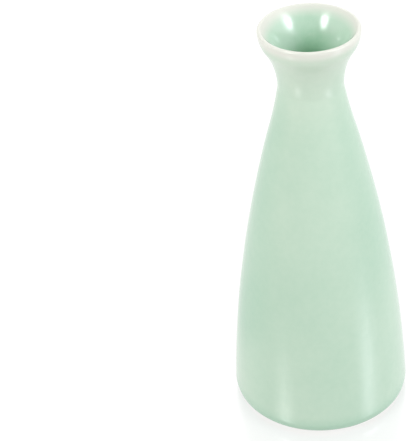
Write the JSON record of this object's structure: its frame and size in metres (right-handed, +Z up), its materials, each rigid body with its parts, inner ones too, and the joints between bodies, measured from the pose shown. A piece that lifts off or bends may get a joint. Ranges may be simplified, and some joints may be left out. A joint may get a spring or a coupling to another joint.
{
  "type": "sake bottle",
  "caption": "Small celadon-glazed porcelain sake bottle with a conical belly, narrow neck, flared mouth and bare foot ring.",
  "frame": {"origin": "centre of the plane that the foot ring rests on", "axes": "+Z up along the axis of revolution, from the foot to the rim; X and Y are equal"},
  "size_m": [0.0634, 0.0634, 0.15],
  "materials": {
    "porcelain": "matte",
    "celadon": "gloss",
    "celadon_deep": "gloss",
    "pale_rim": "gloss"
  },
  "bodies": {
    "root": {"porcelain_body": "porcelain", "outer_glaze": "celadon", "rim_glaze": "pale_rim", "inner_glaze": "celadon_deep", "base_glaze": "celadon"}
  },
  "joints": []
}
